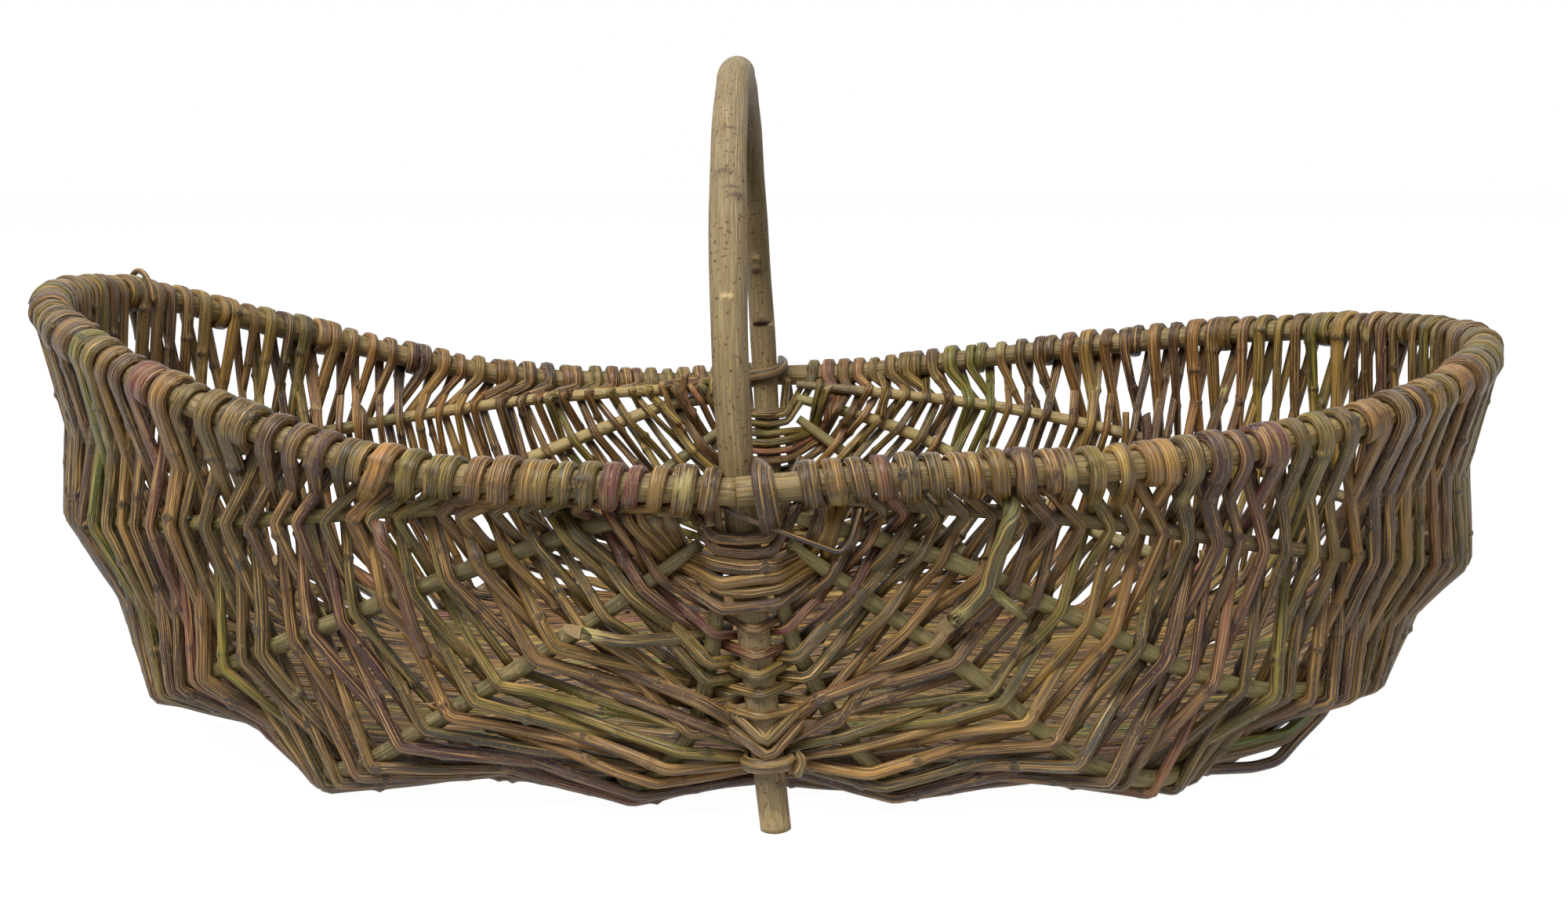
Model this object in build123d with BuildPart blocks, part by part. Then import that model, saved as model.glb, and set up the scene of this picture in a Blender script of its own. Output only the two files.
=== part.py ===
from build123d import *
from math import radians, sin, tan
import os

# A willow garden trug: a rod bent into a rim, a handle bow whose two ends run down through
# the walls and stand out below as feet, eight ribs that fan out from the two crossings of
# bow and rim, and a weave of thinner rods from rib to rib.
# +X runs along the basket, the front is at -Y and the floor it stands on is Z = 0.

# Basket, measured between the centres of its rods
basket_length = 580
rim_height = 122.7
left_rise = 55
right_rise = 34
handle_height = 267.4
handle_span = 324
handle_lean = 13.6

# Rods
handle_rod = 13
rim_rod = 10
rib_rod = 6.5
top_rib_rod = 5.6
weaver_rod = 4.7
wrap_thickness = 3.5
foot_tie_share = 0.171

# Ribs: how far each reaches at its middle and how far below the rim it starts
left_reaches = [283, 250, 180, 60]
right_reaches = [283, 250, 195, 60]
rib_start_drops = [3, 10, 20, 27]

# How high the two upper ribs lie at their middle, as shares of the rim's height
left_height_shares = [0.772, 0.185]
right_height_shares = [0.601, 0.25]

# Fits
clearance = 0.3
facet_allowance = 0.5
crossing_gap = 1.5
floor_gap = 0.15
weave_mitre = 2
rows_per_half = 24
arc_share = 0.45

# Outlines as shares, from the front crossing to the middle of an end
rim_plan_shares = [(0.14, 1.0), (0.46, 0.93), (0.79, 0.71), (1.0, 0.29)]
front_left_rise_shares = [0.03, 0.08, 0.61, 1.0]
back_left_rise_shares = [-0.07, 0.0, 0.52, 1.0]
front_right_rise_shares = [0.15, 0.17, 0.53, 1.0]
back_right_rise_shares = [0.01, 0.38, 0.77, 1.0]

# Each rib's bends: share of its reach, of half the wall's depth, and of its drop
left_rib_shares = [
    [(0.40, 0.955, 0.24), (0.70, 0.80, 0.62), (0.925, 0.49, 0.94), (1.0, 0.17, 1.0)],
    [(0.14, 0.995, 0.02), (0.40, 0.95, 0.27), (0.64, 0.87, 0.53), (0.90, 0.64, 0.86), (1.0, 0.22, 1.0)],
    [(0.20, 0.995, 0.25), (0.49, 0.95, 0.57), (0.77, 0.90, 0.88), (0.92, 0.76, 1.0), (1.0, 0.38, 1.0)],
    [(0.01, 0.995, 0.25), (0.18, 0.97, 0.70), (0.66, 0.935, 0.98), (0.96, 0.70, 1.0), (1.0, 0.20, 1.0)],
]
right_rib_shares = [
    [(0.40, 0.955, 0.24), (0.70, 0.80, 0.62), (0.925, 0.49, 0.94), (1.0, 0.17, 1.0)],
    [(0.23, 0.99, 0.19), (0.42, 0.95, 0.48), (0.66, 0.86, 0.86), (0.91, 0.60, 0.98), (1.0, 0.20, 1.0)],
    [
        (0.13, 0.995, 0.19),
        (0.34, 0.97, 0.50),
        (0.55, 0.94, 0.88),
        (0.71, 0.85, 1.0),
        (0.93, 0.52, 1.0),
        (1.0, 0.15, 1.0),
    ],
    [(0.07, 0.995, 0.28), (0.40, 0.97, 0.72), (0.74, 0.93, 0.97), (0.96, 0.70, 1.0), (1.0, 0.20, 1.0)],
]

# The bow: share of half its span, share of its rise above the rim and share of its lean
front_bow_shares = [(1.0, 0.32, 0.95), (0.83, 0.76, 1.0), (0.50, 0.96, 0.95), (0.16, 1.0, 0.9)]
back_bow_shares = [(0.16, 1.0, 0.87), (0.50, 0.96, 0.82), (0.83, 0.76, 0.7), (1.0, 0.32, 0.4)]
front_rim_lean_share = 0.77
back_rim_lean_share = 0.22
foot_lean_share = -0.15

# Worked out from the sizes above
half_length = basket_length / 2
half_span = handle_span / 2
handle_radius = handle_rod / 2
rim_radius = rim_rod / 2
half_width = half_span + handle_radius + crossing_gap + rim_radius
weaver_radius = weaver_rod / 2
rib_rods = [top_rib_rod, rib_rod, rib_rod, rib_rod]
wrap_radius = rim_radius + clearance + wrap_thickness
foot_tie_height = rim_height * foot_tie_share
floor_rib_height = rib_rod / 2 + weaver_rod + floor_gap
left_heights = [rim_height * share for share in left_height_shares] + 2 * [floor_rib_height]
right_heights = [rim_height * share for share in right_height_shares] + 2 * [floor_rib_height]
foot_x = -handle_lean * foot_lean_share
front_rim_x = -handle_lean * front_rim_lean_share
back_rim_x = -handle_lean * back_rim_lean_share
loop_radius = handle_radius + clearance + weaver_radius
ring_radius = rim_radius + clearance + weaver_radius
lashing_reach = loop_radius + weaver_radius + clearance
weave_half_over = rib_rod / 2 + weaver_rod
weave_half_under = weaver_rod / 2
weave_half_between = 0.8 * weaver_rod
section_edge = clearance + facet_allowance
narrowest_bay = 2 * weaver_rod
narrowest_leg_bay = 1.5 * weaver_rod
halves = ((-1, front_rim_x, "front"), (1, back_rim_x, "back"))
ends = ((-1, "left"), (1, "right"))

os.makedirs("parts", exist_ok=True)


def bend_radii(points):
    # The largest arc at each bend that leaves a little of both runs straight
    runs = [end - start for start, end in zip(points, points[1:])]
    pairs = list(zip(runs, runs[1:]))
    half_turns = [radians(a.get_angle(b) / 2) for a, b in pairs]
    return [arc_share * min(a.length, b.length) / tan(turn) for (a, b), turn in zip(pairs, half_turns)]


def bent_path(points):
    # Straight runs joined by tangent arcs
    with BuildLine() as path:
        FilletPolyline(*points, radius=bend_radii(points))
    return path.wire()


def point_along(path, share):
    # The point at a share of the path's length
    return path.position_at(share * path.length, position_mode=PositionMode.LENGTH)


def way_along(path, share):
    # The path's direction there
    return path.tangent_at(share * path.length, position_mode=PositionMode.LENGTH)


def rim_points(side, rise, front_shares, back_shares):
    # Half of the rim, from the front crossing round one end to the back crossing
    front = [
        Vector(side * x * half_length, -y * half_width, rim_height + rise * z)
        for (x, y), z in zip(rim_plan_shares, front_shares)
    ]
    back = [
        Vector(side * x * half_length, y * half_width, rim_height + rise * z)
        for (x, y), z in zip(rim_plan_shares, back_shares)
    ]
    start = Vector(front_rim_x, -half_width, rim_height)
    end = Vector(back_rim_x, half_width, rim_height)
    return [start] + front + back[::-1] + [end]


def leg_x(height, rim_x):
    # Where a leg of the bow stands at a height below the rim
    return foot_x + (rim_x - foot_x) * height / rim_height


def rib_points(side, shares, reach, height, start_height, offset):
    # One rib, from the front leg of the bow round one end to its back leg
    points = []
    for way, rim_x, _ in halves:
        start_x = leg_x(start_height, rim_x) + side * offset
        half = [Vector(start_x, way * half_span, start_height)]
        for out, depth, drop in shares:
            x = start_x + (side * reach - start_x) * out
            z = start_height + (height - start_height) * drop
            half.append(Vector(x, way * half_span * depth, z))
        points += half if way < 0 else half[::-1]
    return points


def slant_edge(edge, across, way):
    # How far along a slanting row a rod's edge reaches
    return edge / sin(radians(across.get_angle(way)))


def weave_section(centre, across, along, width, goes_over):
    # One row: it stands out over one rib and passes under the next, and it is thinner
    # where the ribs close in on each other
    normal = across.cross(along.cross(across))
    over = min(weave_half_over, width / 2)
    under = min(weave_half_under, width / 4)
    between = min(weave_half_between, width / 2)
    mitre = min(weave_mitre, width / 4)
    front = over if goes_over else under
    back = under if goes_over else over
    with BuildSketch(Plane(centre, x_dir=across, z_dir=normal)) as section:
        with BuildLine():
            Polyline(
                (-width / 2, 0),
                (mitre - width / 2, -back),
                (0, -between),
                (width / 2 - mitre, -front),
                (width / 2, 0),
                (width / 2 - mitre, back),
                (0, between),
                (mitre - width / 2, front),
                close=True,
            )
        make_face()
    return section.sketch


def woven_bay(path_a, path_b, edge_a, edge_b, shares, first_over):
    # The weave between two rods, row by row from the middle of the end towards the
    # crossing, as far as a weaver fits between them
    sections = []
    for row, share in enumerate(shares):
        start = point_along(path_a, share)
        across = point_along(path_b, share) - start
        way_a = way_along(path_a, share)
        way_b = way_along(path_b, share)
        inset_a = slant_edge(edge_a, across, way_a)
        width = across.length - inset_a - slant_edge(edge_b, across, way_b)
        if width < narrowest_bay:
            break
        centre = start + across.normalized() * (inset_a + width / 2)
        goes_over = (row % 2 == 0) == first_over
        sections.append(weave_section(centre, across, way_a + way_b, width, goes_over))
    with BuildPart() as bay:
        loft(sections=sections, ruled=True)
    return bay


def leg_bay(path, edge, shares, way, rim_x):
    # The weave between the lowest rib and the bow's leg, in level rows
    sections = []
    for row, share in enumerate(shares):
        start = point_along(path, share)
        leg = Vector(leg_x(start.Z, rim_x), way * half_span, start.Z)
        across = leg - start
        inset = slant_edge(edge, across, way_along(path, share))
        width = across.length - inset - handle_radius - section_edge
        if width > narrowest_leg_bay and start.Z > foot_tie_height + weaver_rod:
            centre = start + across.normalized() * (inset + width / 2)
            sections.append(weave_section(centre, across, Vector(0, 0, -1), width, row % 2 == 0))
    with BuildPart() as bay:
        loft(sections=sections, ruled=True)
    return bay


def save(piece, name):
    # Name a finished piece and write it
    piece.part.label = name
    export_step(piece.part, f"parts/{name}.step")


# The handle bow: one rod from the front foot over the top to the back foot
handle_rise = handle_height - rim_height
foot_overrun = handle_rod
with BuildPart() as handle_bow:
    front_slope = (front_rim_x - foot_x) / rim_height
    back_slope = (back_rim_x - foot_x) / rim_height
    front_bow = [
        Vector(-handle_lean * x, -half_span * y, rim_height + handle_rise * z)
        for y, z, x in front_bow_shares
    ]
    back_bow = [
        Vector(-handle_lean * x, half_span * y, rim_height + handle_rise * z)
        for y, z, x in back_bow_shares
    ]
    front_foot = Vector(foot_x - front_slope * foot_overrun, -half_span, -foot_overrun)
    back_foot = Vector(foot_x - back_slope * foot_overrun, half_span, -foot_overrun)
    front_knee = Vector(front_rim_x, -half_span, rim_height)
    back_knee = Vector(back_rim_x, half_span, rim_height)
    bow_points = [front_foot, front_knee] + front_bow + back_bow + [back_knee, back_foot]
    with BuildLine() as bow_path:
        FilletPolyline(*bow_points, radius=bend_radii(bow_points))
    with BuildSketch(Plane(bow_path.wire() @ 0, z_dir=bow_path.wire() % 0)):
        Circle(handle_radius)
    sweep(path=bow_path.wire())
    split(bisect_by=Plane.XY, keep=Keep.TOP)
save(handle_bow, "handle_bow")

# The rim hoop, swept round both ends from the two crossings with the bow
left_rim = bent_path(rim_points(-1, left_rise, front_left_rise_shares, back_left_rise_shares))
right_rim = bent_path(rim_points(1, right_rise, front_right_rise_shares, back_right_rise_shares))
with BuildPart() as rim_hoop:
    for path in (left_rim, right_rim):
        with BuildSketch(Plane(path @ 0, z_dir=path % 0)):
            Circle(rim_radius)
        sweep(path=path)
save(rim_hoop, "rim_hoop")

# Four ribs at each end, from the one below the rim down to the one under the floor
rib_paths = {-1: [], 1: []}
for side, side_name in ends:
    shares = left_rib_shares if side < 0 else right_rib_shares
    reaches = left_reaches if side < 0 else right_reaches
    heights = left_heights if side < 0 else right_heights
    for i, rod in enumerate(rib_rods):
        lowest = i == len(rib_rods) - 1
        beside_lashing = lashing_reach + rib_rod / 2
        beside_leg = handle_radius + clearance + rib_rod / 2
        offset = beside_leg if lowest else beside_lashing
        start_height = rim_height - rib_start_drops[i]
        path = bent_path(rib_points(side, shares[i], reaches[i], heights[i], start_height, offset))
        rib_paths[side].append(path)
        with BuildPart() as rib:
            with BuildSketch(Plane(path @ 0, z_dir=path % 0)):
                Circle(rod / 2)
            sweep(path=path)
        save(rib, f"{side_name}_rib_{i + 1}")

# The weaver that lashes each leg of the bow to the rim: a loop round the leg's inner
# side, whose two ends turn round the rim on either side of the leg
loop_height = rim_height - weaver_radius
for way, rim_x, name in halves:
    leg_centre = Vector(leg_x(loop_height, rim_x), way * half_span, loop_height)
    with BuildPart() as lashing:
        with BuildSketch(Plane(leg_centre, x_dir=(1, 0, 0), z_dir=(0, way, 0))):
            with Locations((loop_radius, 0)):
                Circle(weaver_radius)
        revolve(axis=Axis(leg_centre, (0, 0, -way)), revolution_arc=180)
        for side, path in ((-1, left_rim), (1, right_rim)):
            beside = loop_radius if way < 0 else path.length - loop_radius
            ring_centre = path.position_at(beside, position_mode=PositionMode.LENGTH)
            rim_way = path.tangent_at(beside, position_mode=PositionMode.LENGTH)
            with BuildSketch(Plane(leg_centre + Vector(side * loop_radius, 0, 0), z_dir=(0, way, 0))):
                Circle(weaver_radius)
            extrude(amount=half_width - half_span - ring_radius)
            ring_side = rim_way.cross(Vector(0, way, 0))
            with BuildSketch(Plane(ring_centre, x_dir=(0, -way, 0), z_dir=ring_side)):
                with Locations((ring_radius, 0)):
                    Circle(weaver_radius)
            revolve(axis=Axis(ring_centre, rim_way), revolution_arc=360)
    save(lashing, f"{name}_handle_lashing")

# A weaver tied round each leg just above its foot
for way, rim_x, name in halves:
    tie_centre = Vector(leg_x(foot_tie_height, rim_x), way * half_span, foot_tie_height)
    leg_way = Vector(rim_x - foot_x, 0, rim_height)
    with BuildPart() as tie:
        ring_plane = Plane(tie_centre, x_dir=(0, 1, 0), z_dir=leg_way)
        with BuildSketch(Plane(tie_centre, x_dir=(0, 1, 0), z_dir=ring_plane.y_dir)):
            with Locations((loop_radius, 0)):
                Circle(weaver_radius)
        revolve(axis=Axis(tie_centre, leg_way), revolution_arc=360)
    save(tie, f"{name}_foot_tie")

# The turns of weaver over the rim, one quarter at a time
for path, side, side_name in ((left_rim, -1, "left"), (right_rim, 1, "right")):
    for way, rim_x, name in halves:
        with BuildPart() as rim_wrap:
            with BuildSketch(Plane(path @ 0, z_dir=path % 0)):
                Circle(wrap_radius)
                Circle(rim_radius + clearance, mode=Mode.SUBTRACT)
            sweep(path=path)
            split(bisect_by=Plane.XZ, keep=Keep.TOP if way < 0 else Keep.BOTTOM)
            wrap_start = Plane.YZ.offset(rim_x + side * (lashing_reach + weaver_radius))
            split(bisect_by=wrap_start, keep=Keep.TOP if side > 0 else Keep.BOTTOM)
        save(rim_wrap, f"{name}_{side_name}_rim_wrap")

# The weave, bay by bay: rows rise from each crossing and meet at the middle of the ends
front_rows = [row / (2 * rows_per_half) for row in range(rows_per_half, 0, -1)]
back_rows = [1 - share for share in front_rows]
rib_edges = [rod / 2 + section_edge for rod in rib_rods]
rim_edge = wrap_radius + section_edge
for side, side_name, rim_path in ((-1, "left", left_rim), (1, "right", right_rim)):
    bay_paths = [rim_path] + rib_paths[side]
    bay_edges = [rim_edge] + rib_edges
    for way, rim_x, name in halves:
        rows = front_rows if way < 0 else back_rows
        for i in range(len(rib_rods)):
            bay = woven_bay(*bay_paths[i : i + 2], *bay_edges[i : i + 2], rows, i % 2 == 0)
            save(bay, f"{name}_{side_name}_weave_{i + 1}")
        bay = leg_bay(rib_paths[side][-1], rib_edges[-1], rows, way, rim_x)
        save(bay, f"{name}_{side_name}_leg_weave")

# The weave under the floor, between the two lowest ribs, wherever they lie level
for rows, name in ((front_rows, "front"), (back_rows, "back")):
    lowest_rib = rib_paths[-1][-1]
    rows_end = floor_rib_height + weaver_rod
    floor_rows = [share for share in rows if point_along(lowest_rib, share).Z < rows_end]
    bay = woven_bay(lowest_rib, rib_paths[1][-1], rib_edges[-1], rib_edges[-1], floor_rows, True)
    save(bay, f"{name}_floor_weave")
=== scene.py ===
import bpy
import math
import numpy as np
from mathutils import Matrix


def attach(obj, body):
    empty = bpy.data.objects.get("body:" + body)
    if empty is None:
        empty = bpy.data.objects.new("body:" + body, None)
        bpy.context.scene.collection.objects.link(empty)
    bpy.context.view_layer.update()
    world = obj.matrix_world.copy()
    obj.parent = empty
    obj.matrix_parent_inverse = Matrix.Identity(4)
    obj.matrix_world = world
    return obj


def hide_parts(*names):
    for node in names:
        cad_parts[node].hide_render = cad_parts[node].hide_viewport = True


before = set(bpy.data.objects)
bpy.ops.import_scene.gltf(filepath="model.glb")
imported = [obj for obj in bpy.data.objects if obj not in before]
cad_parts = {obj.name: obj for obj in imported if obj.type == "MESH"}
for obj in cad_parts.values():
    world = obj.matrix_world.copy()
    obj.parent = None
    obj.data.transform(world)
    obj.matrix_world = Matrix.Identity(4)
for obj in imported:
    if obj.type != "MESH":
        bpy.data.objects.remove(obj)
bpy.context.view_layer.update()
random = np.random.default_rng(7)  # courses and thicknesses of the rods
tones = np.random.default_rng(12)  # their colours and scuffs
mm = 0.001  # shapes are worked out in millimetres and put into the meshes in metres
print("frame loaded")


# Colours and nodes

def linear(code):
    # Each channel c of an sRGB hex code: c / 12.92 up to 0.04045, else ((c + 0.055) / 1.055) to the 2.4
    c = np.array([int(code[i:i + 2], 16) for i in (1, 3, 5)]) / 255
    return np.where(c <= 0.04045, c / 12.92, ((c + 0.055) / 1.055) ** 2.4)


def rgba(code):
    # The linear colour with full opacity
    return (*linear(code), 1.0)


def addNode(tree, kind, links=None, **settings):
    # Adds one node; links gives each input a socket or a value
    made = tree.nodes.new(kind)
    for key, value in settings.items():
        setattr(made, key, value)
    for key, value in (links or {}).items():
        if isinstance(value, bpy.types.NodeSocket):
            tree.links.new(value, made.inputs[key])
        else:
            made.inputs[key].default_value = value
    return made


def newMaterial(name):
    # A material with its node tree and its shader
    material = bpy.data.materials.new(name)
    material.use_nodes = True
    return material, material.node_tree, material.node_tree.nodes["Principled BSDF"]


def addObject(name, data):
    # Puts a mesh, lamp or camera into the scene
    made = bpy.data.objects.new(name, data)
    bpy.context.scene.collection.objects.link(made)
    return made


# Lines: a rod's centre line is an array of points

def unit(v):
    # Each vector divided by its length
    return v / np.linalg.norm(v, axis=-1, keepdims=True)


def bentLine(points, arcShare=0.45, steps=14):
    # Straight runs with, at each corner, the circle that touches both runs at a share of the
    # shorter one, drawn by turning its first spoke towards its last at an even rate
    points = np.array(points, float)
    pieces = [points[:1]]
    for a, b, c in zip(points, points[1:], points[2:]):
        runA, runC = np.linalg.norm(a - b), np.linalg.norm(c - b)
        u, w = (a - b) / runA, (c - b) / runC
        halfAngle = math.acos(float(np.clip(u @ w, -1, 1))) / 2
        cut = arcShare * min(runA, runC)
        centre = b + unit(u + w) * cut / math.cos(halfAngle)
        turn = math.pi - 2 * halfAngle
        s = np.linspace(0, 1, steps)[:, None]
        first, last = b + u * cut - centre, b + w * cut - centre
        pieces.append(centre + (np.sin((1 - s) * turn) * first + np.sin(s * turn) * last) / math.sin(turn))
    pieces.append(points[-1:])
    return np.concatenate(pieces)


def runOf(line):
    # Length along the line up to each point
    return np.r_[0, np.cumsum(np.linalg.norm(np.diff(line, axis=0), axis=1))]


def pick(values, run, at):
    # Values given at lengths run, read at other lengths
    values = np.asarray(values, float)
    if values.ndim == 1:
        return np.interp(at, run, values)
    return np.stack([np.interp(at, run, column) for column in values.T], axis=1)


def everyMillimetre(line, past=0.0):
    # The line with a point for each millimetre of its length
    run = runOf(line)
    return pick(line, run, np.arange(0, run[-1] + past, 1.0))


def soften(values, width):
    # Each value becomes the bell-weighted mean of its neighbours; the ends are carried on straight
    values = np.asarray(values, float)
    columns = values.reshape(len(values), -1)
    reach = min(int(3 * width) + 1, len(columns) - 1)
    bell = np.exp(-0.5 * (np.arange(-reach, reach + 1) / width) ** 2)
    bell /= bell.sum()
    padded = np.pad(columns, ((reach, reach), (0, 0)), mode="reflect", reflect_type="odd")
    softened = [np.convolve(column, bell, mode="valid") for column in padded.T]
    return np.stack(softened, axis=1).reshape(values.shape)


# Rods: a profile carried along a line

def rodSurface(line, across, wide, thick, swell, slants, square):
    # Point (i, j) is line i plus wide cos(a) sideways plus thick sin(a) across, for angle a of j,
    # both times swell (i, j) and raised, without their signs, to the power 1 - square, which
    # squares a pressed rod; the first and last rings lean by slants for an oblique cut
    way = unit(np.gradient(line, axis=0))
    up = unit(across - (across * way).sum(1, keepdims=True) * way)
    side = np.cross(way, up)
    sides = swell.shape[1]
    angle = np.arange(sides) / sides * 2 * math.pi
    power = 1 - np.broadcast_to(square, len(line))[:, None]
    x = wide[:, None] * swell * np.sign(np.cos(angle)) * np.abs(np.cos(angle)) ** power
    y = thick[:, None] * swell * np.sign(np.sin(angle)) * np.abs(np.sin(angle)) ** power
    points = line[:, None] + x[..., None] * side[:, None] + y[..., None] * up[:, None]
    for ring, slant in ((0, slants[0]), (-1, slants[1])):
        points[ring] += (slant * thick[ring] * np.cos(angle))[:, None] * way[ring]
    return points, x, y


def rodParts(line, across, wide, thick, swell, colour, mark, scrape, slants, shift, square=0.0):
    # One closed rod: rings joined by quads, and a fan of triangles at each end. Its coordinates are
    # x and y in its section and the length along it, moved by shift so that no two rods look alike.
    # Half widths, half thicknesses, colours and scrapes may be one value for all
    rings, sides = swell.shape
    wide, thick = (np.broadcast_to(value, rings) for value in (wide, thick))
    colour = np.broadcast_to(colour, (rings, 3))
    points, x, y = rodSurface(line, across, wide, thick, swell, slants, square)
    run = runOf(line)
    aside = np.array([shift * 0.37, -shift * 0.21, shift])
    coords = np.stack([x, y, np.repeat(run[:, None], sides, axis=1)], axis=2).reshape(-1, 3)
    coords = np.concatenate([coords, [[0, 0, 0]], [[0, 0, run[-1]]]]) + aside
    i = np.arange(rings - 1)[:, None] * sides
    j = np.arange(sides)[None]
    k = (j + 1) % sides
    quads = np.stack([i + k, i + sides + k, i + sides + j, i + j], axis=2).reshape(-1, 4)
    last = (rings - 1) * sides
    start = np.stack([k[0], j[0], np.full(sides, rings * sides)], axis=1)
    end = np.stack([last + j[0], last + k[0], np.full(sides, rings * sides + 1)], axis=1)
    rod = {"verts": np.concatenate([points.reshape(-1, 3), line[:1], line[-1:]]), "quads": quads,
           "ends": np.concatenate([start, end]), "coords": coords,
           "colour": np.concatenate([np.repeat(colour, sides, axis=0), colour[:1], colour[-1:]])}
    for key, values in (("mark", mark), ("scrape", np.broadcast_to(scrape, swell.shape))):
        rod[key] = np.concatenate([values.reshape(-1), values[:1].mean(1), values[-1:].mean(1)])
    return rod


def makePiece(name, rods, materials, nodes):
    # Joins rods into one mesh with their bark colour, rod coordinates and marks as attributes
    counts = np.cumsum([0] + [len(rod["verts"]) for rod in rods])
    verts = np.concatenate([rod["verts"] for rod in rods]) * mm
    quads = np.concatenate([rod["quads"] + n for rod, n in zip(rods, counts)])
    ends = np.concatenate([rod["ends"] + n for rod, n in zip(rods, counts)])
    loops = np.concatenate([quads.ravel(), ends.ravel()]).astype(np.int32)
    corners = np.r_[np.full(len(quads), 4), np.full(len(ends), 3)].astype(np.int32)
    mesh = bpy.data.meshes.new(name)
    mesh.vertices.add(len(verts))
    mesh.vertices.foreach_set("co", verts.astype(np.float32).ravel())
    mesh.loops.add(len(loops))
    mesh.loops.foreach_set("vertex_index", loops)
    mesh.polygons.add(len(corners))
    mesh.polygons.foreach_set("loop_start", (np.cumsum(corners) - corners).astype(np.int32))
    mesh.polygons.foreach_set("material_index", (corners == 3).astype(np.int32))
    mesh.polygons.foreach_set("use_smooth", corners == 4)
    mesh.update(calc_edges=True)
    layers = (("barkColour", "colour", "FLOAT_COLOR", "color"),
              ("rodCoord", "coords", "FLOAT_VECTOR", "vector"),
              ("nodeMark", "mark", "FLOAT", "value"), ("scrape", "scrape", "FLOAT", "value"))
    for label, key, kind, field in layers:
        values = np.concatenate([rod[key] for rod in rods])
        if field == "color":
            values = np.column_stack([values, np.ones(len(values))])
        layer = mesh.attributes.new(label, kind, "POINT")
        layer.data.foreach_set(field, values.astype(np.float32).ravel())
    for material in materials:
        mesh.materials.append(material)
    piece = addObject(name, mesh)
    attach(piece, "root")
    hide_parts(*nodes)
    print(name, "rods", len(rods), "triangles", len(quads) * 2 + len(ends))


# Materials

def barkMaterial(name, s):
    # Thin bark: fine lengthwise lines, slow changes of tone, small pale pores, dark rings at the
    # nodes and paler wood where it is scraped
    material, tree, shader = newMaterial(name)
    base, coords, mark, scrape = (
        addNode(tree, "ShaderNodeAttribute", attribute_name=label).outputs[output] for label, output in
        (("barkColour", "Color"), ("rodCoord", "Vector"), ("nodeMark", "Fac"), ("scrape", "Fac")))
    # Noises: millimetres across and along the rod, detail, and the values that count as 0 and 1
    grains = {}
    for grain, across, along, detail, low, high in (
            ("lines", s["lineWidth"], s["lineLength"], 3.0, s["lineFrom"], s["lineFrom"] + s["lineFade"]),
            ("fineLines", s["lineWidth"] * 0.5, s["lineLength"] * 0.8, 2.0, s["fineFrom"], 0.62),
            ("slow", s["bandWidth"], 75.0, 1.0, 0.42, 0.6),
            ("blotch", 3.0, 14.0, 3.0, 0.5, 0.75),
            ("pores", s["poreSize"], s["poreSize"] * 0.8, 0.0, s["poreFrom"], s["poreFrom"] + 0.04),
            ("frayed", 1.6, 5.0, 3.0, 0.3, 0.7)):
        scale = (1 / across, 1 / across, 1 / along)
        spread = addNode(tree, "ShaderNodeMapping", {"Vector": coords, "Scale": scale}).outputs[0]
        noise = addNode(tree, "ShaderNodeTexNoise", {"Vector": spread, "Scale": 1.0, "Detail": detail})
        ranged = addNode(tree, "ShaderNodeMapRange",
                         {"Value": noise.outputs["Fac"], "From Min": low, "From Max": high})
        grains[grain] = ranged.outputs["Result"]
    edge = addNode(tree, "ShaderNodeMath", {0: scrape, 1: grains["frayed"]}, operation="SUBTRACT")
    peeled = addNode(tree, "ShaderNodeMapRange",
                     {"Value": edge.outputs[0], "From Min": -0.25, "From Max": 0.15})
    # Layers of colour from the bark outwards: where, how much, which colour
    for where, amount, code, blend in (
            (grains["slow"], s["slowAmount"], s["slowColour"], "MIX"),
            (grains["blotch"], s["blotchAmount"], s["blotchColour"], "MIX"),
            (grains["lines"], s["lineDark"], "#33200f", "MULTIPLY"),
            # pale fine lines: bark fibres, and on the weavers also painted highlights
            (grains["fineLines"], s["lineLight"], s["lineColour"], "MIX"),
            (grains["pores"], s["poreAmount"], s["poreColour"], "MIX"),
            (mark, s["markAmount"], s["markColour"], "MIX"),
            (peeled.outputs[0], scrape, s["scrapeColour"], "MIX")):
        share = addNode(tree, "ShaderNodeMath", {0: where, 1: amount}, operation="MULTIPLY")
        layer = addNode(tree, "ShaderNodeMix", {0: share.outputs[0], 6: base, 7: rgba(code)},
                        data_type="RGBA", blend_type=blend)
        base = layer.outputs[2]
    tree.links.new(base, shader.inputs["Base Color"])
    low = addNode(tree, "ShaderNodeMath", {0: grains["fineLines"], 1: 0.6}, operation="MULTIPLY")
    height = addNode(tree, "ShaderNodeMath", {0: grains["lines"], 1: low.outputs[0]}, operation="ADD")
    bump = addNode(tree, "ShaderNodeBump",
                   {"Height": height.outputs[0], "Strength": s["bump"], "Distance": 0.35 * mm})
    tree.links.new(bump.outputs[0], shader.inputs["Normal"])
    rough = addNode(tree, "ShaderNodeMapRange",
                    {"Value": grains["blotch"], "To Min": s["roughness"], "To Max": s["roughness"] + 0.15})
    tree.links.new(rough.outputs["Result"], shader.inputs["Roughness"])
    return material


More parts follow.
